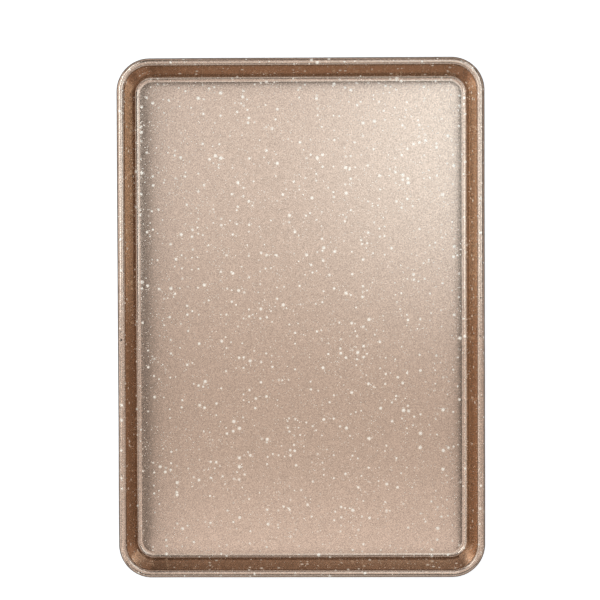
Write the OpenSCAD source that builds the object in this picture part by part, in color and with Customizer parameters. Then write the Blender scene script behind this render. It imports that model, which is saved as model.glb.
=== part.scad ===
// Shallow sheet pan: one drawn steel sheet, curled at the rim round a closed loop of wire.
// The origin is the middle of the resting face. +X is across the pan, +Y along it, +Z up.

/* [Pan] */
// Overall width, across the rolled rim
pan_w = 305; // [200:1:500]
// Overall length, across the rolled rim
pan_l = 432; // [250:1:700]
// Overall height, from the resting face to the top of the rim
pan_h = 25; // [16:0.5:60]
// Radius of the flat floor's corners, seen from above
floor_corner_r = 6.5; // [2:0.5:30]

/* [Sheet] */
// Thickness of the steel sheet
sheet_t = 0.8; // [0.5:0.1:1.5]
// Lean of the walls away from upright, in degrees
wall_lean = 16; // [5:1:40]
// Inside radius of the curve from the floor up into the walls
foot_r = 7; // [2:0.5:9]

/* [Rim] */
// Diameter of the wire inside the rolled rim
wire_d = 5; // [3:0.1:6]
// Gap between the wire and the sheet curled round it
wire_gap = 0.2; // [0.1:0.05:0.5]
// Turn of the sheet round the wire, in degrees
curl_wrap = 290; // [200:5:300]
// Gap between the butted ends of the wire
wire_butt_gap = 1; // [0.5:0.5:10]

/* [Hidden] */
$fn = 96;

// Outer radius of the rolled rim, and the height of its middle
bead_r = wire_d / 2 + wire_gap + sheet_t;
bead_z = pan_h - bead_r;
// From the middle of the foot's curve to the middle of the rim: upwards, outwards and along the wall
foot_rise = bead_z - sheet_t - foot_r;
foot_reach = (bead_r + foot_r + foot_rise * sin(wall_lean)) / cos(wall_lean);
wall_run = (foot_rise + (bead_r + foot_r) * sin(wall_lean)) / cos(wall_lean);
// Radius of the rim's corners along the middle of the roll, and the places of their centres
rim_path_r = floor_corner_r + foot_reach;
corner_x = pan_w / 2 - bead_r - rim_path_r;
corner_y = pan_l / 2 - bead_r - rim_path_r;
// The quarters of the pan run this far past its middle lines, into each other
overrun = 1;
// Shares of the floor's corner radius: the floor strip that each side carries, and the plate's reach into it
strip_share = 0.75;
plate_share = 0.5;
// A sector's outline stands this many radii out, clear of the ring that it is cut from
sector_reach_share = 2;
// Widest step between the corners of a sector's outline, in degrees
sector_step = 45;
coat_color = [0.79, 0.69, 0.62];
wire_color = "silver";

// A pie slice from one angle to another, with flat outer edges beyond the radius r
module sector(r, from, to) {
    steps = ceil((to - from) / sector_step);
    reach = r * sector_reach_share;
    turns = [for (i = [0:steps]) from + (to - from) * i / steps];
    polygon(concat([[0, 0]], [for (a = turns) reach * [cos(a), sin(a)]]));
}

// A closed ring of sheet with the outer radius r
module ring(r) {
    difference() {
        circle(r);
        circle(r - sheet_t);
    }
}

// Places a drawing at the middle of the foot's curve. Floor and wall each turn half the lean
// away from a line midway between them, so that both are rounded alike and meet exactly.
module at_foot(turn) {
    translate([0, sheet_t + foot_r]) rotate(-wall_lean / 2) rotate(turn) children();
}

module along_floor() {
    at_foot(wall_lean / 2) children();
}

module along_wall() {
    at_foot(-wall_lean / 2) children();
}

// Places a drawing at the middle of the rim's roll, leaning with the wall
module at_roll() {
    along_wall() translate([foot_r + bead_r, wall_run]) children();
}

// A stretch of the flat floor, between two distances inwards from its edge
module floor_section(from, to) {
    along_floor() translate([-to, -foot_r - sheet_t]) square([to - from, sheet_t]);
}

// The foot's curve starts straight down, where the floor ends, and stops square to the wall
module foot_section() {
    intersection() {
        along_floor() ring(foot_r + sheet_t);
        along_floor() sector(foot_r + sheet_t, -90, 0);
        along_wall() sector(foot_r + sheet_t, -90, 0);
    }
}

module wall_section() {
    along_wall() translate([foot_r, 0]) square([sheet_t, wall_run]);
}

module roll_section() {
    at_roll() intersection() {
        ring(bead_r);
        sector(bead_r, 180 - curl_wrap, 180);
    }
}

// The cut across one side, outwards from the floor. Its x = 0 is the edge of the flat floor.
module side_section() {
    floor_section(0, floor_corner_r * strip_share);
    foot_section();
    wall_section();
    roll_section();
}

// Carries a section round one corner and along half of each side that meets there
module quarter_round() {
    translate([corner_x, corner_y, 0]) {
        rotate_extrude(angle = 90) translate([floor_corner_r, 0]) children();
        rotate([90, 0, 0]) linear_extrude(corner_y + overrun)
            translate([floor_corner_r, 0]) children();
        rotate([90, 0, 90]) mirror([0, 0, 1]) linear_extrude(corner_x + overrun)
            translate([floor_corner_r, 0]) children();
    }
}

// Carries a section right round the pan, as four mirrored quarters
module round_pan() {
    for (x = [0, 1], y = [0, 1])
        mirror([x, 0, 0]) mirror([0, y, 0]) quarter_round() children();
}

// The flat plate within the sides' floor strips, as two mirrored halves
module floor_plate() {
    reach = floor_corner_r * plate_share;
    for (x = [0, 1])
        mirror([x, 0, 0]) translate([corner_x, 0, 0]) rotate([90, 0, 0])
            linear_extrude(2 * (corner_y + reach), center = true) translate([floor_corner_r, 0])
                floor_section(floor_corner_r - reach, floor_corner_r + corner_x + overrun);
}

module pan_shell() {
    color(coat_color) {
        floor_plate();
        round_pan() side_section();
    }
}

// The wire's ends meet at the middle of the far short side
module rim_wire() {
    color(wire_color) difference() {
        round_pan() at_roll() circle(d = wire_d);
        translate([0, corner_y + rim_path_r, bead_z])
            cube([wire_butt_gap, 2 * wire_d, 2 * wire_d], center = true);
    }
}

pan_shell();
rim_wire();
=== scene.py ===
"""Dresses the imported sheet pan: its coated sheet, the wire inside its rim, and the studio round it.

Lengths are in metres and angles in degrees, unless a name says otherwise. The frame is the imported
model's own: the origin under the middle of the floor, +X across the pan, +Y along it and +Z up.
"""

import logging
import math
from dataclasses import dataclass, field
from enum import Enum
from typing import Sequence

import bmesh
import bpy
from mathutils import Euler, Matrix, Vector, noise


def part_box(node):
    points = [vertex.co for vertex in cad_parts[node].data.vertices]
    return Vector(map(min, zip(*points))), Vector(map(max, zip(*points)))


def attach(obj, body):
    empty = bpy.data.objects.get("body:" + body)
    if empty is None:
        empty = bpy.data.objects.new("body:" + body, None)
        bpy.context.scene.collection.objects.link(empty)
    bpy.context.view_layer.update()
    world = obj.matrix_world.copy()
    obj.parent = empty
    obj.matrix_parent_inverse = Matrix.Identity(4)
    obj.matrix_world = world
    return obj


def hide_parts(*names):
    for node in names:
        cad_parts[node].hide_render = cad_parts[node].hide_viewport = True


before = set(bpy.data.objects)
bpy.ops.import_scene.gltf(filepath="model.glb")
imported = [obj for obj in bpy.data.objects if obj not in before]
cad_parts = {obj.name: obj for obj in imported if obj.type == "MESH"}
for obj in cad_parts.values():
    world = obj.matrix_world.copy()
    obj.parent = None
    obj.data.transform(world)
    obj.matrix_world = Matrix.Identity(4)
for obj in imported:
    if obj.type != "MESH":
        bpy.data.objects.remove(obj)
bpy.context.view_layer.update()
MM = 0.001
BODY = "root"
SHELL_NODE = "pan_shell"
WIRE_NODE = "rim_wire"

log = logging.getLogger("sheet_pan")

Socket = bpy.types.NodeSocket
Value = float | Sequence[float] | Socket
Colour = tuple[float, float, float]


class SheetFace(Enum):
    """The sheet's two kinds of surface. Each value is a material slot of the sheet's mesh."""

    COATED = 0
    CUT = 1


class NodeTree:
    """A node tree under construction, with one short method for each kind of node used here."""

    # A Mix node has sockets for numbers and vectors too: these are the ones that mix colours
    MIX_INPUTS = (0, 6, 7)
    MIX_OUTPUT = 2

    def __init__(self, owner: bpy.types.Material | bpy.types.World | bpy.types.Light) -> None:
        """Empties the owner's tree.

        Args:
            owner: The material, world or lamp whose nodes are built.
        """
        owner.use_nodes = True
        self.tree = owner.node_tree
        self.tree.nodes.clear()

    def add(self, kind: str, inputs: dict[str, Value] | None = None, **settings: object) -> bpy.types.Node:
        """Adds a node.

        Args:
            kind: The node's type, without the leading "ShaderNode".
            inputs: A value or a socket for each input, by the input's name.
            settings: The node's own properties.

        Returns:
            The new node.
        """
        node = self.tree.nodes.new("ShaderNode" + kind)
        for name, value in settings.items():
            setattr(node, name, value)
        for name, value in (inputs or {}).items():
            self.feed(node.inputs[name], value)
        return node

    def feed(self, socket: Socket, value: Value) -> None:
        """Links a socket to an input, or sets the input's own value."""
        if isinstance(value, bpy.types.NodeSocket):
            self.tree.links.new(value, socket)
        elif socket.type == "RGBA":
            socket.default_value = (*value, 1.0)
        else:
            socket.default_value = value

    def math(self, operation: str, *values: Value) -> Socket:
        """Works out one sum of up to three values."""
        node = self.add("Math", operation=operation)
        for socket, value in zip(node.inputs, values):
            self.feed(socket, value)
        return node.outputs[0]

    def spread(self, value: Socket, low: Value, high: Value, to_low: Value, to_high: Value,
               smooth: bool = False) -> Socket:
        """Maps a value from one range to another.

        Args:
            value: What is mapped.
            low: The start of its range.
            high: The end of its range.
            to_low: The result at the start.
            to_high: The result at the end.
            smooth: Eases in and out, in place of a straight line.

        Returns:
            The mapped value, held inside the new range.
        """
        inputs = {"Value": value, "From Min": low, "From Max": high, "To Min": to_low, "To Max": to_high}
        kind = "SMOOTHSTEP" if smooth else "LINEAR"
        return self.add("MapRange", inputs, interpolation_type=kind).outputs["Result"]

    def blend(self, share: Value, first: Value, second: Value, mode: str = "MIX") -> Socket:
        """Mixes two colours, by a share of the second."""
        node = self.add("Mix", data_type="RGBA", blend_type=mode)
        for index, value in zip(self.MIX_INPUTS, (share, first, second)):
            self.feed(node.inputs[index], value)
        return node.outputs[self.MIX_OUTPUT]

    def noise(self, place: Socket, grain: float, detail: float = 2.0) -> Socket:
        """A cloudy value from 0 to 1, with features of about the given size."""
        inputs = {"Vector": place, "Scale": 1.0 / grain, "Detail": detail}
        return self.add("TexNoise", inputs).outputs["Fac"]

    def cells(self, place: Socket, pitch: float) -> bpy.types.Node:
        """Random cells of about the given size: their distance is measured in pitches."""
        return self.add("TexVoronoi", {"Vector": place, "Scale": 1.0 / pitch})

    def parts(self, colour: Socket) -> bpy.types.NodeOutputs:
        """The red, green and blue of a colour, by name."""
        return self.add("SeparateColor", {"Color": colour}).outputs

    def place(self) -> Socket:
        """The point on the object, in the object's own metres."""
        return self.add("TexCoord").outputs["Object"]

    def finish(self, shader: Socket, target: str = "OutputMaterial") -> None:
        """Links the finished shader to the tree's output."""
        self.tree.links.new(shader, self.add(target).inputs["Surface"])


@dataclass(frozen=True)
class Speckle:
    """One size range of the pale drops in the coating.

    Attributes:
        pitch: Mean distance between the places where a drop may be.
        smallest: Radius of the smallest drops.
        largest: Radius of the largest drops.
        rarity: Power that makes the larger drops rarer.
    """

    pitch: float
    smallest: float
    largest: float
    rarity: float


@dataclass(frozen=True)
class Chip:
    """A small dark mark in the coating, where something knocked it.

    Attributes:
        at: Place of its middle.
        radius: How far it reaches.
    """

    at: tuple[float, float, float]
    radius: float


@dataclass(frozen=True)
class ChampagneCoating:
    """Satin champagne non-stick coating with a metallic grain and scattered warm-white drops.

    The inner face and the top of the rim carry it. Beyond the rim's outer flank the sheet has the
    plain coat of its outer face, painted dark: that darkness is a painted reflection of dark surroundings.

    Attributes:
        inner: Colour of the inner coat.
        outer: Colour of the outer coat.
        drop: Colour of the drops.
        worn: Colour inside a chip.
        edge_tint: Tint of the metal where it is seen at a flat angle.
        roughness: Roughness of the inner coat.
        outer_roughness: Roughness of the outer coat.
        drop_roughness: Roughness of the drops.
        drop_metal: How metallic the drops are.
        core: Where a drop starts to fade, as a share of its radius.
        fringe: Where a drop has faded out, as a share of its radius.
        grain: Size of the metallic grain.
        grain_depth: How much darker or lighter than the coat a grain can be.
        grain_roughness: How much shinier or duller than the coat a grain can be.
        grain_height: Height of the highest grains, as a share of a drop's.
        mottle: Size of the faint blotches.
        mottle_depth: How much darker or lighter than the coat a blotch can be.
        cloud: Size of the stretches where the drops are large or small.
        cloud_span: Noise values between which a stretch's drops grow.
        smaller: How large the drops are where they are small, as a share of their full size.
        noise_span: Noise values that count as the lowest and the highest.
        painted_dark_seam_turn: Turn round the rim's roll where the outer coat meets the inner one.
        painted_dark_seam_softness: Turn over which they run into each other.
        relief: Height of the drops.
        speckles: The size ranges of the drops.
        chips: The marks on the rim.
    """

    inner: Colour = (0.54, 0.39, 0.30)
    # Painted reflection: this dark colour stands in for the dark surroundings mirrored along the rim's outer
    # flank
    outer: Colour = (0.12, 0.094, 0.076)
    drop: Colour = (1.0, 0.88, 0.75)
    worn: Colour = (0.10, 0.075, 0.06)
    edge_tint: Colour = (0.34, 0.24, 0.15)
    roughness: float = 0.17
    outer_roughness: float = 0.42
    drop_roughness: float = 0.30
    drop_metal: float = 0.5
    core: float = 0.4
    fringe: float = 1.5
    grain: float = 0.45 * MM
    grain_depth: float = 0.28
    grain_roughness: float = 0.15
    grain_height: float = 0.25
    mottle: float = 5 * MM
    mottle_depth: float = 0.03
    cloud: float = 16 * MM
    cloud_span: tuple[float, float] = (0.35, 0.62)
    smaller: float = 0.55
    noise_span: tuple[float, float] = (0.3, 0.7)
    painted_dark_seam_turn: float = 117.0
    painted_dark_seam_softness: float = 5.0
    relief: float = 0.02 * MM
    speckles: tuple[Speckle, ...] = (
        Speckle(1.8 * MM, 0.12 * MM, 0.42 * MM, 1.0),
        Speckle(4.8 * MM, 0.30 * MM, 1.55 * MM, 1.4),
    )
    chips: tuple[Chip, ...] = (
        Chip((-149.3 * MM, -17.5 * MM, 25 * MM), 1.3 * MM),
        Chip((-149.3 * MM, -10.5 * MM, 25 * MM), 0.7 * MM),
        Chip((148.6 * MM, 16.5 * MM, 25 * MM), 0.8 * MM),
        Chip((148.6 * MM, -15.2 * MM, 25 * MM), 0.8 * MM),
    )

    def wear(self, nodes: NodeTree, place: Socket) -> Socket:
        """Where the rim's chips lie: 1 inside a chip and 0 outside."""
        found: Socket | None = None
        for chip in self.chips:
            gap = nodes.add("VectorMath", operation="DISTANCE")
            nodes.feed(gap.inputs[0], place)
            nodes.feed(gap.inputs[1], chip.at)
            mark = nodes.spread(gap.outputs["Value"], chip.radius / 2, chip.radius, 1.0, 0.0, smooth=True)
            found = mark if found is None else nodes.math("MAXIMUM", found, mark)
        return found

    def drops(self, nodes: NodeTree, place: Socket, speckle: Speckle, growth: Socket) -> Socket:
        """Where one size range of drops lies.

        Args:
            nodes: The tree that the drops are built in.
            place: The point on the object.
            speckle: The size range.
            growth: How large the drops are at this point, as a share of their full size.

        Returns:
            1 inside a drop and 0 outside.
        """
        cells = nodes.cells(place, speckle.pitch)
        rare = nodes.math("POWER", nodes.parts(cells.outputs["Color"])["Red"], speckle.rarity)
        smallest, largest = speckle.smallest / speckle.pitch, speckle.largest / speckle.pitch
        size = nodes.math("MULTIPLY", nodes.spread(rare, 0.0, 1.0, smallest, largest), growth)
        core = nodes.math("MULTIPLY", size, self.core)
        fringe = nodes.math("MULTIPLY", size, self.fringe)
        return nodes.spread(cells.outputs["Distance"], core, fringe, 1.0, 0.0, smooth=True)

    def all_drops(self, nodes: NodeTree, place: Socket) -> Socket:
        """Where drops of any size lie: 1 inside a drop and 0 outside."""
        growth = nodes.spread(nodes.noise(place, self.cloud), *self.cloud_span, self.smaller, 1.0)
        found: Socket | None = None
        for speckle in self.speckles:
            drop = self.drops(nodes, place, speckle, growth)
            found = drop if found is None else nodes.math("MAXIMUM", found, drop)
        return found

    def outside(self, nodes: NodeTree, blotch: Socket) -> Socket:
        """Where the outer coat lies, whose colour is painted dark as a reflection of dark surroundings.

        Args:
            nodes: The tree that the coat is built in.
            blotch: The noise that makes the seam between the coats waver.

        Returns:
            1 on the outer coat and 0 on the inner one.
        """
        turn = nodes.add("Attribute", attribute_name=CoatedSheet.TURN_NAME).outputs["Fac"]
        half = self.painted_dark_seam_softness / 2
        turn = nodes.math("ADD", turn, nodes.spread(blotch, *self.noise_span, -half, half))
        start, end = self.painted_dark_seam_turn - self.painted_dark_seam_softness, self.painted_dark_seam_turn + self.painted_dark_seam_softness
        return nodes.spread(turn, start, end, 0.0, 1.0, smooth=True)

    def material(self) -> bpy.types.Material:
        """Builds the coating's material."""
        made = bpy.data.materials.new("champagne_coating")
        nodes = NodeTree(made)
        place = nodes.place()

        blotch = nodes.noise(place, self.mottle)
        # Mask of the outer coat, where the colour turns to the painted dark reflection on the rim's outer
        # flank
        outside = self.outside(nodes, blotch)
        drop = nodes.math("MULTIPLY", self.all_drops(nodes, place), nodes.math("SUBTRACT", 1.0, outside))
        flakes = nodes.parts(nodes.cells(place, self.grain).outputs["Color"])

        grain = nodes.spread(flakes["Red"], 0.0, 1.0, 1 - self.grain_depth, 1 + self.grain_depth)
        mottle = nodes.spread(blotch, *self.noise_span, 1 - self.mottle_depth, 1 + self.mottle_depth)
        # Painted reflection: beyond the seam the outer coat's dark colour takes over on the rim's outer
        # flank
        coat = nodes.blend(outside, self.inner, self.outer)
        coat = nodes.blend(1.0, coat, nodes.math("MULTIPLY", grain, mottle), mode="MULTIPLY")
        colour = nodes.blend(drop, coat, self.drop)
        colour = nodes.blend(self.wear(nodes, place), colour, self.worn)

        shine = nodes.spread(flakes["Green"], 0.0, 1.0, 1 - self.grain_roughness, 1 + self.grain_roughness)
        rough = nodes.spread(outside, 0.0, 1.0, self.roughness, self.outer_roughness)
        rough = nodes.math("MULTIPLY", rough, shine)
        rough = nodes.math("ADD", rough, nodes.math("MULTIPLY", drop, self.drop_roughness - self.roughness))

        height = nodes.math("ADD", drop, nodes.math("MULTIPLY", flakes["Blue"], self.grain_height))
        bump = nodes.add("Bump", {"Height": height, "Distance": self.relief, "Strength": 1.0})
        shader = nodes.add("BsdfPrincipled", {
            "Base Color": colour,
            "Metallic": nodes.spread(drop, 0.0, 1.0, 1.0, self.drop_metal),
            "Roughness": rough,
            "Normal": bump.outputs["Normal"],
            "Specular Tint": self.edge_tint,
        })
        nodes.finish(shader.outputs[0])
        return made


@dataclass(frozen=True)
class BareSteel:
    """Uncoated steel: the sheet's cut edge, or drawn wire, with fine streaks and dull spots.

    Attributes:
        name: What the material is called.
        colour: Colour of the clean metal.
        dull: Colour of the dull spots.
        roughness: Roughness of the clean metal.
        spot_roughness: How much rougher a dull spot is.
        streak: Size of the fine streaks.
        streak_detail: How many finer noises the streaks hold.
        streak_span: Noise values that count as the darkest and the lightest streak.
        streak_depth: How much darker or lighter than the metal a streak can be.
        spot: Size of the dull spots.
        spot_span: Noise values at which a spot starts and is full.
        relief: Height of the streaks.
    """

    name: str
    colour: Colour = (0.55, 0.54, 0.53)
    dull: Colour = (0.33, 0.30, 0.28)
    roughness: float = 0.34
    spot_roughness: float = 0.2
    streak: float = 0.25 * MM
    streak_detail: float = 4.0
    streak_span: tuple[float, float] = (0.25, 0.75)
    streak_depth: float = 0.15
    spot: float = 3 * MM
    spot_span: tuple[float, float] = (0.45, 0.7)
    relief: float = 0.01 * MM

    def material(self) -> bpy.types.Material:
        """Builds the steel's material."""
        made = bpy.data.materials.new(self.name)
        nodes = NodeTree(made)
        place = nodes.place()
        streaks = nodes.noise(place, self.streak, self.streak_detail)
        shade = nodes.spread(streaks, *self.streak_span, 1 - self.streak_depth, 1 + self.streak_depth)
        spots = nodes.spread(nodes.noise(place, self.spot), *self.spot_span, 0.0, 1.0, smooth=True)
        colour = nodes.blend(spots, self.colour, self.dull)
        colour = nodes.blend(1.0, colour, shade, mode="MULTIPLY")
        rough = nodes.math("ADD", self.roughness, nodes.math("MULTIPLY", spots, self.spot_roughness))
        bump = nodes.add("Bump", {"Height": streaks, "Distance": self.relief, "Strength": 1.0})
        shader = nodes.add("BsdfPrincipled", {
            "Base Color": colour,
            "Metallic": 1.0,
            "Roughness": rough,
            "Normal": bump.outputs["Normal"],
        })
        nodes.finish(shader.outputs[0])
        return made


@dataclass(frozen=True)
class WhitePaper:
    """The studio's white floor. It is white in the picture and in the metal, and keeps a soft shadow.

    Attributes:
        colour: Colour of the paper.
        glow_near: What is added to the lit paper beside the pan, so that it shows white.
        glow_far: What is added to it far away, where no lamp reaches.
        near: Distance from the pan's middle out to which the near glow holds.
        far: Distance at which the far glow is reached.
        fibre: Size of the paper's fibres.
        fibre_span: Noise values that count as the darkest and the lightest fibre.
        fibre_shade: How dark the darkest fibre is, as a share of the paper's colour.
    """

    colour: Colour = (0.6, 0.6, 0.6)
    glow_near: float = 0.7
    glow_far: float = 1.0
    near: float = 0.5
    far: float = 2.5
    fibre: float = 2 * MM
    fibre_span: tuple[float, float] = (0.3, 0.7)
    fibre_shade: float = 0.97

    def material(self) -> bpy.types.Material:
        """Builds the floor's material, which is clear from below."""
        made = bpy.data.materials.new("white_paper")
        nodes = NodeTree(made)
        ways = nodes.add("LightPath").outputs
        seen = nodes.math("MAXIMUM", ways["Is Camera Ray"], ways["Is Glossy Ray"])
        seen = nodes.math("MAXIMUM", seen, ways["Is Transmission Ray"])
        place = nodes.place()
        away = nodes.add("VectorMath", {"Vector": place}, operation="LENGTH").outputs["Value"]
        glow = nodes.spread(away, self.near, self.far, self.glow_near, self.glow_far)
        light = nodes.add("Emission", {"Strength": nodes.math("MULTIPLY", seen, glow)})
        fibre = nodes.spread(nodes.noise(place, self.fibre), *self.fibre_span, self.fibre_shade, 1.0)
        paper = nodes.add("BsdfDiffuse", {"Color": nodes.blend(1.0, self.colour, fibre, mode="MULTIPLY")})
        top = nodes.add("AddShader")
        nodes.feed(top.inputs[0], paper.outputs[0])
        nodes.feed(top.inputs[1], light.outputs[0])
        clear = nodes.add("BsdfTransparent")
        sides = nodes.add("MixShader", {"Fac": nodes.add("NewGeometry").outputs["Backfacing"]})
        nodes.feed(sides.inputs[1], top.outputs[0])
        nodes.feed(sides.inputs[2], clear.outputs[0])
        nodes.finish(sides.outputs[0])
        return made


@dataclass(frozen=True)
class SectionPoint:
    """A point of the cut across one side of the pan.

    Attributes:
        out: Distance outwards from the flat floor's edge.
        up: Height above the resting face.
        turn: How far round the rim's roll the point lies, 0 on the wall and the floor.
        bends: True where the sheet's surface turns a sharp corner.
    """

    out: float
    up: float
    turn: float = 0.0
    bends: bool = False


@dataclass
class PanSection:
    """The cut across one side: floor edge, curved foot, leaning wall and rolled rim, both faces.

    Attributes:
        height: Overall height, to the top of the rim.
        sheet: Thickness of the sheet.
        lean: Lean of the wall away from upright.
        foot_r: Inside radius of the curve at the foot of the wall.
        wire_d: Diameter of the wire in the rim.
        wire_gap: Gap between the wire and the sheet round it.
        wrap: Turn of the sheet round the wire.
        strip: Width of the strip of floor beside the foot that follows the floor's round corners.
        strip_steps: Steps across that strip.
        foot_steps: Steps round the foot's curve.
        wall_steps: Steps up the straight wall.
        roll_step: Widest step round the roll, as a turn.
        support: Distance of the wall's first and last points from its ends.
    """

    height: float
    sheet: float = 0.8 * MM
    lean: float = 15.0
    foot_r: float = 5 * MM
    wire_d: float = 5 * MM
    wire_gap: float = 0.2 * MM
    wrap: float = 290.0
    strip: float = 9.5 * MM
    strip_steps: int = 8
    foot_steps: int = 18
    wall_steps: int = 6
    roll_step: float = 6.0
    support: float = 0.25 * MM

    @property
    def roll_r(self) -> float:
        """Outer radius of the rim's roll."""
        return self.wire_d / 2 + self.wire_gap + self.sheet

    @property
    def roll_up(self) -> float:
        """Height of the middle of the roll."""
        return self.height - self.roll_r

    @property
    def foot_rise(self) -> float:
        """Height from the middle of the foot's curve to the middle of the roll."""
        return self.roll_up - self.sheet - self.foot_r

    @property
    def reach(self) -> float:
        """Distance outwards from the floor's edge to the middle of the roll."""
        lean = math.radians(self.lean)
        return (self.roll_r + self.foot_r + self.foot_rise * math.sin(lean)) / math.cos(lean)

    @property
    def wall_run(self) -> float:
        """Length of the straight wall, along its slope."""
        lean = math.radians(self.lean)
        return (self.foot_rise + (self.roll_r + self.foot_r) * math.sin(lean)) / math.cos(lean)

    def floor_strip(self, depth: float) -> list[SectionPoint]:
        """The strip of floor inside the foot, outwards, closer together towards the floor's edge.

        Args:
            depth: Depth below the sheet's inner face, 0 or the sheet's thickness.

        Returns:
            Points from the strip's inner side almost to the floor's edge.
        """
        shares = [1.0 - step / self.strip_steps for step in range(self.strip_steps)]
        return [SectionPoint(-self.strip * share * share, self.sheet - depth) for share in shares]

    def foot(self, depth: float) -> list[SectionPoint]:
        """The foot's curve, outwards.

        Args:
            depth: Depth below the sheet's inner face, 0 or the sheet's thickness.

        Returns:
            Points from the floor's edge to the foot of the wall.
        """
        radius = self.foot_r + depth
        sweep = 90.0 - self.lean
        points = []
        for step in range(self.foot_steps + 1):
            angle = math.radians(sweep * step / self.foot_steps - 90.0)
            up = self.sheet + self.foot_r + radius * math.sin(angle)
            points.append(SectionPoint(radius * math.cos(angle), up))
        return points

    def wall(self, depth: float) -> list[SectionPoint]:
        """The wall between the foot and the roll, upwards, without its end points.

        Args:
            depth: Depth below the sheet's inner face, 0 or the sheet's thickness.

        Returns:
            Points up the wall, close together beside its two ends.
        """
        lean = math.radians(self.lean)
        away = self.foot_r + depth
        start = Vector((away * math.cos(lean), self.sheet + self.foot_r - away * math.sin(lean)))
        along = Vector((math.sin(lean), math.cos(lean)))
        inner = self.wall_run - 2 * self.support
        runs = [self.support + inner * step / self.wall_steps for step in range(self.wall_steps + 1)]
        return [SectionPoint(*(start + along * run)) for run in runs]

    def roll(self, depth: float) -> list[SectionPoint]:
        """The roll, from the wall over the top to the sheet's cut edge.

        Args:
            depth: Depth below the sheet's outer face, 0 or the sheet's thickness.

        Returns:
            Points round the roll, from the wall to the cut edge.
        """
        radius = self.roll_r - depth
        steps = math.ceil(self.wrap / self.roll_step)
        points = []
        for step in range(steps + 1):
            turn = self.wrap * step / steps
            angle = math.radians(180.0 - self.lean - turn)
            out = self.reach + radius * math.cos(angle)
            points.append(SectionPoint(out, self.roll_up + radius * math.sin(angle), turn, step == steps))
        return points

    def round_trip(self) -> list[SectionPoint]:
        """The whole section: up the inner face, round the roll's edge and back down the outer face."""
        inner, outer = [
            self.floor_strip(depth) + self.foot(depth) + self.wall(depth) + self.roll(depth)
            for depth in (0.0, self.sheet)
        ]
        back = [SectionPoint(p.out, p.up, self.wrap, p.bends) for p in reversed(outer)]
        return [*inner, *back]


@dataclass(frozen=True)
class Station:
    """A place on the way round the pan, where the section is set up.

    Attributes:
        axis: The point that the section's outward distances count from.
        out: The outward direction.
        node: The floor grid's column and row that the station runs into.
    """

    axis: Vector
    out: Vector
    node: tuple[int, int]


@dataclass(frozen=True)
class PressMarks:
    """The slight unevenness that pressing and curling leave in the sheet.

    Attributes:
        crown: Rise of the floor inside its edges.
        fall: Distance over which most of the crown falls away towards an edge.
        wave: Sway of the rim in and out.
        wave_length: Length of that sway.
    """

    crown: float = 0.45 * MM
    fall: float = 6 * MM
    wave: float = 0.07 * MM
    wave_length: float = 60 * MM

    def rise(self, from_side: float, from_end: float, from_edge: float, corner_r: float) -> float:
        """Rise of the floor at a place.

        Args:
            from_side: Distance from the line of the nearest long side.
            from_end: Distance from the line of the nearest short side.
            from_edge: Distance from the edge itself, which is round at the corners.
            corner_r: Radius of the edge's corners.

        Returns:
            The rise, which follows the edge beside it and fades into a plain crown further in.
        """
        distances = (from_side, from_end, from_edge)
        side, end, edge = [1.0 - math.exp(-max(0.0, away) / self.fall) for away in distances]
        depth = min(1.0, max(0.0, from_edge / corner_r))
        inner = depth * depth * (3.0 - 2.0 * depth)
        return self.crown * (inner * side * end + (1.0 - inner) * edge)

    def sway(self, at: Vector) -> float:
        """Sway of the rim beside a place on the way round."""
        return self.wave * noise.noise(Vector((*at, 0.0)) / self.wave_length)


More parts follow.
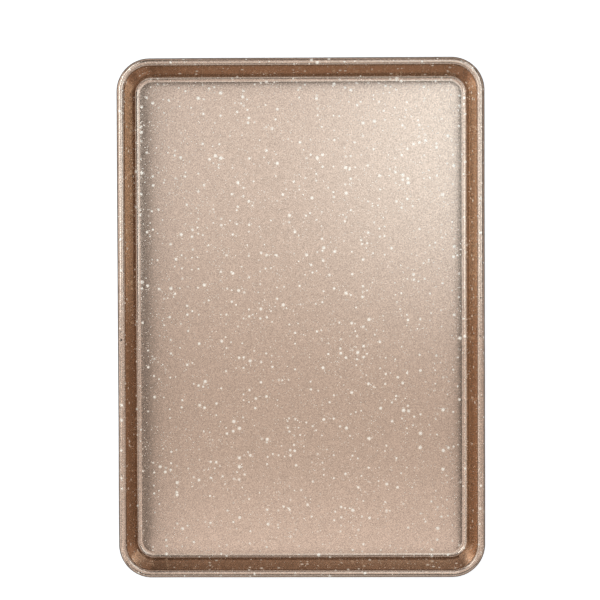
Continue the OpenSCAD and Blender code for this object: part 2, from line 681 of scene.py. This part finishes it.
@dataclass
class CoatedSheet:
    """The pan's one pressing: floor, foot, walls and rolled rim, with both faces and the cut edge.

    Attributes:
        width: Overall width across the rim.
        length: Overall length across the rim.
        section: The cut across one side.
        corner_r: Radius of the flat floor's corners.
        corner_steps: Steps round each corner.
        pitch: Widest step along the straight sides.
        edge_places: Distances of the closer steps from each corner's axis.
        marks: The unevenness left by the press.
    """

    TURN_NAME = "roll_turn"

    width: float
    length: float
    section: PanSection
    corner_r: float = 11 * MM
    corner_steps: int = 24
    pitch: float = 11 * MM
    edge_places: tuple[float, ...] = (0.0, 1.2 * MM, 3 * MM, 5.5 * MM, 9 * MM, 14 * MM)
    marks: PressMarks = field(default_factory=PressMarks)

    @property
    def corner_x(self) -> float:
        """Distance of the corners' axes from the long middle plane."""
        return self.width / 2 - self.section.roll_r - self.section.reach - self.corner_r

    @property
    def corner_y(self) -> float:
        """Distance of the corners' axes from the cross middle plane."""
        return self.length / 2 - self.section.roll_r - self.section.reach - self.corner_r

    def places(self, half: float) -> list[float]:
        """The grid's lines along one direction, from one corner axis to the other."""
        inner = half - self.edge_places[-1]
        steps = math.ceil(2 * inner / self.pitch)
        first = [away - half for away in self.edge_places]
        middle = [2 * inner * step / steps - inner for step in range(1, steps)]
        return [*first, *middle, *(-place for place in reversed(first))]

    def lift(self, at: Vector) -> float:
        """Rise of the crowned floor at a place."""
        past_x, past_y = abs(at.x) - self.corner_x, abs(at.y) - self.corner_y
        from_edge = self.corner_r - math.hypot(max(0.0, past_x), max(0.0, past_y))
        return self.marks.rise(self.corner_r - past_x, self.corner_r - past_y, from_edge, self.corner_r)

    def stations(self, columns: list[float], rows: list[float]) -> list[Station]:
        """The way round the pan, counter-clockwise seen from above.

        Args:
            columns: The floor grid's places across the pan.
            rows: The floor grid's places along the pan.

        Returns:
            The stations, with several at each corner's axis.
        """
        last_column, last_row = len(columns) - 1, len(rows) - 1
        corners = [(last_column, last_row), (0, last_row), (0, 0), (last_column, 0)]
        made = []
        for quarter, node in enumerate(corners):
            axis = Vector((columns[node[0]], rows[node[1]]))
            for step in range(self.corner_steps + 1):
                angle = math.radians(90.0 * (quarter + step / self.corner_steps))
                made.append(Station(axis, Vector((math.cos(angle), math.sin(angle))), node))
            ahead = corners[(quarter + 1) % len(corners)]
            steps = max(abs(ahead[0] - node[0]), abs(ahead[1] - node[1]))
            for step in range(1, steps):
                column = node[0] + (ahead[0] - node[0]) * step // steps
                row = node[1] + (ahead[1] - node[1]) * step // steps
                made.append(Station(Vector((columns[column], rows[row])), made[-1].out, (column, row)))
        return made

    def ring(self, mesh: bmesh.types.BMesh, stations: list[Station], point: SectionPoint) -> list:
        """Carries one point of the section right round the pan.

        Args:
            mesh: The mesh that gets the points.
            stations: The way round.
            point: The section's point.

        Returns:
            The new vertices, one for each station.
        """
        turn = mesh.verts.layers.float[self.TURN_NAME]
        share = max(0.0, point.out) / self.section.reach
        ring = []
        for station in stations:
            edge = station.axis + station.out * self.corner_r
            at = edge + station.out * (point.out + self.marks.sway(edge) * share * share)
            up = point.up
            if point.out < 0.0:
                up += self.lift(at)
            vertex = mesh.verts.new((at.x, at.y, up))
            vertex[turn] = point.turn
            ring.append(vertex)
        return ring

    def floor(self, mesh: bmesh.types.BMesh, columns: list[float], rows: list[float], up: float,
              turn: float) -> list[list]:
        """One face of the flat floor, as a grid between the corners' axes.

        Args:
            mesh: The mesh that gets the grid.
            columns: The grid's places across the pan.
            rows: The grid's places along the pan.
            up: Height of this face of the floor, 0 for the face that looks down.
            turn: The turn value that marks which face it is.

        Returns:
            The grid's vertices, by column and row.
        """
        layer = mesh.verts.layers.float[self.TURN_NAME]
        looks_down = up == 0.0
        grid = []
        for x in columns:
            line = []
            for y in rows:
                vertex = mesh.verts.new((x, y, up + self.lift(Vector((x, y)))))
                vertex[layer] = turn
                line.append(vertex)
            grid.append(line)
        for near, far in zip(grid, grid[1:]):
            for row in range(len(rows) - 1):
                corners = [near[row], far[row], far[row + 1], near[row + 1]]
                if looks_down:
                    corners.reverse()
                mesh.faces.new(corners)
        return grid

    @staticmethod
    def join(mesh: bmesh.types.BMesh, first: list, second: list, face: SheetFace) -> None:
        """Fills the band between two rings, with triangles where one ring stands still."""
        for index in range(len(first)):
            ahead = (index + 1) % len(first)
            around = [first[index], second[index], second[ahead], first[ahead]]
            corners = [v for at, v in enumerate(around) if v is not around[at - 1]]
            mesh.faces.new(corners).material_index = face.value

    def mesh(self) -> bpy.types.Mesh:
        """Builds the sheet's closed mesh."""
        mesh = bmesh.new()
        mesh.verts.layers.float.new(self.TURN_NAME)
        columns, rows = self.places(self.corner_x), self.places(self.corner_y)
        stations = self.stations(columns, rows)
        points = self.section.round_trip()
        rings = [self.ring(mesh, stations, point) for point in points]
        top = self.floor(mesh, columns, rows, self.section.sheet, 0.0)
        for place in range(len(rings) - 1):
            cut = points[place].bends and points[place + 1].bends
            face = SheetFace.CUT if cut else SheetFace.COATED
            self.join(mesh, rings[place], rings[place + 1], face)
        under = self.floor(mesh, columns, rows, 0.0, self.section.wrap)
        inner_edge = [top[s.node[0]][s.node[1]] for s in stations]
        under_edge = [under[s.node[0]][s.node[1]] for s in stations]
        self.join(mesh, inner_edge, rings[0], SheetFace.COATED)
        self.join(mesh, rings[-1], under_edge, SheetFace.COATED)
        for face in mesh.faces:
            face.smooth = True
        sharp = [ring for ring, point in zip(rings, points) if point.bends]
        for ring in sharp:
            for index, vertex in enumerate(ring):
                mesh.edges.get((vertex, ring[index - 1])).smooth = False
        made = bpy.data.meshes.new("coated_sheet")
        mesh.to_mesh(made)
        mesh.free()
        return made

    def build(self) -> bpy.types.Object:
        """Makes the sheet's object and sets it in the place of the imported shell."""
        sheet = bpy.data.objects.new("coated_sheet", self.mesh())
        bpy.context.scene.collection.objects.link(sheet)
        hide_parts(SHELL_NODE)
        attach(sheet, BODY)
        return sheet

    def dress(self, sheet: bpy.types.Object) -> None:
        """Gives the sheet its coating, and bare steel where it was cut."""
        finishes = {
            SheetFace.COATED: ChampagneCoating().material(),
            SheetFace.CUT: BareSteel("cut_steel").material(),
        }
        for face in SheetFace:
            sheet.data.materials.append(finishes[face])


@dataclass
class RimWire:
    """The round wire that the rim is curled round, with its ends butted at the middle of one side.

    Attributes:
        pan: The sheet that is curled round the wire.
        sides: Number of sides of its round section.
        butt_gap: Gap between its two ends.
        finish: Its steel.
    """

    pan: CoatedSheet
    sides: int = 24
    butt_gap: float = 1 * MM
    finish: BareSteel = field(default_factory=lambda: BareSteel("wire_steel", roughness=0.3))

    def way(self) -> list[tuple[Vector, Vector]]:
        """The way along the wire, from one end to the other, counter-clockwise seen from above.

        Returns:
            Points that the wire bends round or passes, each with its outward direction.
        """
        right, far = self.pan.corner_x, self.pan.corner_y
        corners = ((-right, far), (-right, -far), (right, -far), (right, far))
        outwards = Vector((0.0, 1.0))
        made = [(Vector((-self.butt_gap / 2, far)), outwards)]
        for quarter, axis in enumerate(corners, start=1):
            for step in range(self.pan.corner_steps + 1):
                angle = math.radians(90.0 * (quarter + step / self.pan.corner_steps))
                made.append((Vector(axis), Vector((math.cos(angle), math.sin(angle)))))
        made.append((Vector((self.butt_gap / 2, far)), outwards))
        return made

    def mesh(self) -> bpy.types.Mesh:
        """Builds the wire's closed mesh."""
        mesh = bmesh.new()
        section = self.pan.section
        away = self.pan.corner_r + section.reach
        radius = section.wire_d / 2
        rings = []
        for axis, outwards in self.way():
            ring = []
            for side in range(self.sides):
                angle = math.tau * side / self.sides
                at = axis + outwards * (away + radius * math.cos(angle))
                ring.append(mesh.verts.new((at.x, at.y, section.roll_up + radius * math.sin(angle))))
            rings.append(ring)
        for ring, ahead in zip(rings, rings[1:]):
            for side in range(self.sides):
                turned = (side + 1) % self.sides
                face = mesh.faces.new((ring[side], ahead[side], ahead[turned], ring[turned]))
                face.smooth = True
        mesh.faces.new(rings[0])
        mesh.faces.new(rings[-1][::-1])
        made = bpy.data.meshes.new("drawn_wire")
        mesh.to_mesh(made)
        mesh.free()
        return made

    def build(self) -> bpy.types.Object:
        """Makes the wire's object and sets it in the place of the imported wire."""
        wire = bpy.data.objects.new("drawn_wire", self.mesh())
        bpy.context.scene.collection.objects.link(wire)
        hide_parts(WIRE_NODE)
        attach(wire, BODY)
        return wire

    def dress(self, wire: bpy.types.Object) -> None:
        """Gives the wire its drawn steel."""
        wire.data.materials.append(self.finish.material())


@dataclass(frozen=True)
class Gradient:
    """How much brighter a softbox grows towards its sides, as shares of its glow for each colour.

    Attributes:
        middle: The light in its middle.
        far: What its far side adds.
        corner: What its far right corner adds to that.
        near: What its near side adds.
        far_span: Where the far gain starts and is full, as shares of the way from the near side.
        corner_span: Where the corner's gain starts and is full, as shares of the way from the left.
        near_span: Where the near gain is full and ends, as shares of the way from the near side.
    """

    middle: Colour = (1.0, 1.0, 1.0)
    far: Colour = (0.36, 0.48, 0.58)
    corner: Colour = (0.55, 0.82, 1.0)
    near: Colour = (0.32, 0.35, 0.39)
    far_span: tuple[float, float] = (0.38, 0.86)
    corner_span: tuple[float, float] = (0.3, 0.95)
    near_span: tuple[float, float] = (0.16, 0.34)

    def build(self, data: bpy.types.AreaLight) -> None:
        """Builds the gradient in the lamp's nodes."""
        nodes = NodeTree(data)
        across = nodes.add("SeparateXYZ", {"Vector": nodes.add("NewGeometry").outputs["Parametric"]}).outputs
        far = nodes.spread(across["Y"], *self.far_span, 0.0, 1.0, smooth=True)
        right = nodes.spread(across["X"], *self.corner_span, 0.0, 1.0, smooth=True)
        near = nodes.spread(across["Y"], *self.near_span, 1.0, 0.0, smooth=True)
        light = nodes.blend(far, self.middle, self.far, mode="ADD")
        light = nodes.blend(nodes.math("MULTIPLY", far, right), light, self.corner, mode="ADD")
        light = nodes.blend(near, light, self.near, mode="ADD")
        nodes.finish(nodes.add("Emission", {"Color": light}).outputs[0], "OutputLight")


class Side(Enum):
    """The sides that softboxes hang on. Each value is the side's middle, and its lamps face inwards."""

    OVERHEAD = (0.0, 0.0, 0.8)
    LEFT = (-1.0, 0.0, 0.0)
    RIGHT = (1.0, 0.0, 0.0)
    FAR = (0.0, 1.0, 0.0)
    NEAR = (0.0, -1.0, 0.0)


class Light(Enum):
    """The colours of the lamps."""

    WHITE = (1.0, 1.0, 1.0)
    COOL = (0.85, 0.95, 1.0)
    COOLER = (0.75, 0.9, 1.0)


@dataclass(frozen=True)
class Softbox:
    """A flat lamp.

    Attributes:
        name: What the lamp is called.
        side: The side of the room that it hangs on.
        shift: Place of its middle, counted from the middle of that side.
        size: Its width and height.
        glow: Its brightness, where 1 shows as white in a mirror.
        light: The colour of its light.
        gradient: How its brightness changes over it, or None where it is even.
    """

    name: str
    side: Side
    shift: tuple[float, float, float]
    size: tuple[float, float]
    glow: float
    light: Light = Light.WHITE
    gradient: Gradient | None = None

    def build(self) -> bpy.types.Object:
        """Makes the lamp, unseen by the camera itself."""
        data = bpy.data.lights.new(self.name, "AREA")
        data.shape = "RECTANGLE"
        data.size, data.size_y = self.size
        data.color = self.light.value
        data.energy = self.glow * math.pi * self.size[0] * self.size[1]
        if self.gradient is not None:
            self.gradient.build(data)
        lamp = bpy.data.objects.new(self.name, data)
        side = Vector(self.side.value)
        lamp.location = side + Vector(self.shift)
        # Counted from the middle, because the minus zeros of -side would turn the gradient round
        facing = Vector() - side
        lamp.rotation_euler = facing.to_track_quat("-Z", "Y").to_euler()
        lamp.visible_camera = False
        bpy.context.scene.collection.objects.link(lamp)
        return lamp


@dataclass
class Studio:
    """The white floor, the lamps, the dim room round them and the camera.

    Attributes:
        floor_r: Radius of the floor.
        floor_sides: Number of sides of its round outline.
        floor_drop: Depth of the floor below the pan's resting face.
        room_low: Light of the room at the horizon.
        room_high: Light of the room overhead.
        room_span: Heights between which one gives way to the other, 0 at the horizon and 1 overhead.
        lamps: The softboxes.
        camera_at: Place of the camera.
        camera_turn: The camera's turn from straight down, in radians.
        lens: Focal length of the camera's lens, in millimetres.
        sensor: Width of the camera's sensor, in millimetres.
    """

    floor_r: float = 20.0
    floor_sides: int = 96
    floor_drop: float = 0.4 * MM
    room_low: Colour = (0.36, 0.36, 0.37)
    room_high: Colour = (0.04, 0.04, 0.04)
    room_span: tuple[float, float] = (0.1, 0.6)
    lamps: tuple[Softbox, ...] = (
        Softbox("overhead", Side.OVERHEAD, (0.025, -0.06, 0.0), (0.55, 0.94), 0.88, gradient=Gradient()),
        Softbox("overhead_far", Side.OVERHEAD, (0.05, 0.72, 0.0), (0.60, 0.36), 1.05),
        Softbox("overhead_right_far", Side.OVERHEAD, (0.51, 0.45, 0.0), (0.18, 0.90), 4.2, Light.COOLER),
        Softbox("overhead_right_near", Side.OVERHEAD, (0.66, -0.35, 0.0), (0.48, 0.70), 1.2),
        Softbox("overhead_left_far", Side.OVERHEAD, (-0.51, 0.45, 0.0), (0.18, 0.90), 5.6, Light.COOLER),
        Softbox("overhead_left_edge", Side.OVERHEAD, (-0.75, 0.45, 0.0), (0.30, 0.90), 1.0),
        Softbox("overhead_left_near", Side.OVERHEAD, (-0.51, -0.35, 0.0), (0.18, 0.70), 2.7),
        Softbox("overhead_left_gap", Side.OVERHEAD, (-0.33, -0.05, 0.0), (0.16, 0.96), 0.18),
        Softbox("left_low", Side.LEFT, (0.0, 0.0, 0.125), (1.8, 0.15), 1.5),
        Softbox("left_high", Side.LEFT, (0.0, 0.0, 0.59), (1.8, 0.42), 1.6, Light.COOL),
        Softbox("right", Side.RIGHT, (0.0, 0.0, 0.39), (1.8, 0.38), 0.65),
        Softbox("far", Side.FAR, (0.0, 0.0, 0.215), (1.8, 0.33), 0.5),
        Softbox("near_low", Side.NEAR, (0.0, 0.0, 0.125), (1.8, 0.15), 0.6),
        Softbox("near_high", Side.NEAR, (0.0, 0.0, 0.59), (1.8, 0.42), 1.0, Light.COOL),
    )
    camera_at: tuple[float, float, float] = (0.0093, 0.0322, 1.0817)
    camera_turn: tuple[float, float, float] = (-0.0161, 0.0095, -0.0038)
    lens: float = 76.56
    sensor: float = 36.0

    def build_floor(self) -> bpy.types.Object:
        """Makes the floor, a round sheet of white paper."""
        data = bpy.data.meshes.new("studio_floor")
        mesh = bmesh.new()
        bmesh.ops.create_circle(mesh, cap_ends=True, radius=self.floor_r, segments=self.floor_sides)
        mesh.to_mesh(data)
        mesh.free()
        floor = bpy.data.objects.new("studio_floor", data)
        floor.location.z = -self.floor_drop
        data.materials.append(WhitePaper().material())
        bpy.context.scene.collection.objects.link(floor)
        return floor

    def build_room(self) -> bpy.types.World:
        """Makes the dim room, lighter at the horizon than overhead."""
        room = bpy.data.worlds.new("room")
        nodes = NodeTree(room)
        way = nodes.add("SeparateXYZ", {"Vector": nodes.add("TexCoord").outputs["Generated"]})
        height = nodes.spread(way.outputs["Z"], *self.room_span, 0.0, 1.0, smooth=True)
        tone = nodes.blend(height, self.room_low, self.room_high)
        nodes.finish(nodes.add("Background", {"Color": tone}).outputs[0], "OutputWorld")
        bpy.context.scene.world = room
        return room

    def build_camera(self) -> bpy.types.Object:
        """Makes the camera, almost straight above the pan."""
        data = bpy.data.cameras.new("camera")
        data.lens, data.sensor_width = self.lens, self.sensor
        camera = bpy.data.objects.new("camera", data)
        camera.location = self.camera_at
        camera.rotation_euler = Euler(self.camera_turn)
        bpy.context.scene.collection.objects.link(camera)
        bpy.context.scene.camera = camera
        return camera

    def build(self) -> list[bpy.types.Object]:
        """Makes the whole studio.

        Returns:
            The camera, the floor and the lamps.
        """
        made = [self.build_camera(), self.build_floor()]
        made += [lamp.build() for lamp in self.lamps]
        self.build_room()
        bpy.context.scene.view_settings.view_transform = "Standard"
        return made


def main() -> None:
    """Builds and dresses the pan and its studio, and reports each piece."""
    logging.basicConfig(level=logging.INFO, format="%(name)s: %(message)s")
    for thing in Studio().build():
        log.info("studio: %s", thing.name)
    low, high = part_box(SHELL_NODE)
    pan = CoatedSheet(high.x - low.x, high.y - low.y, PanSection(high.z - low.z))
    sheet = pan.build()
    pan.dress(sheet)
    log.info("%s: %d faces in place of %s", sheet.name, len(sheet.data.polygons), SHELL_NODE)
    rim_wire = RimWire(pan)
    wire = rim_wire.build()
    rim_wire.dress(wire)
    log.info("%s: %d faces in place of %s", wire.name, len(wire.data.polygons), WIRE_NODE)


if __name__ == "__main__":
    main()
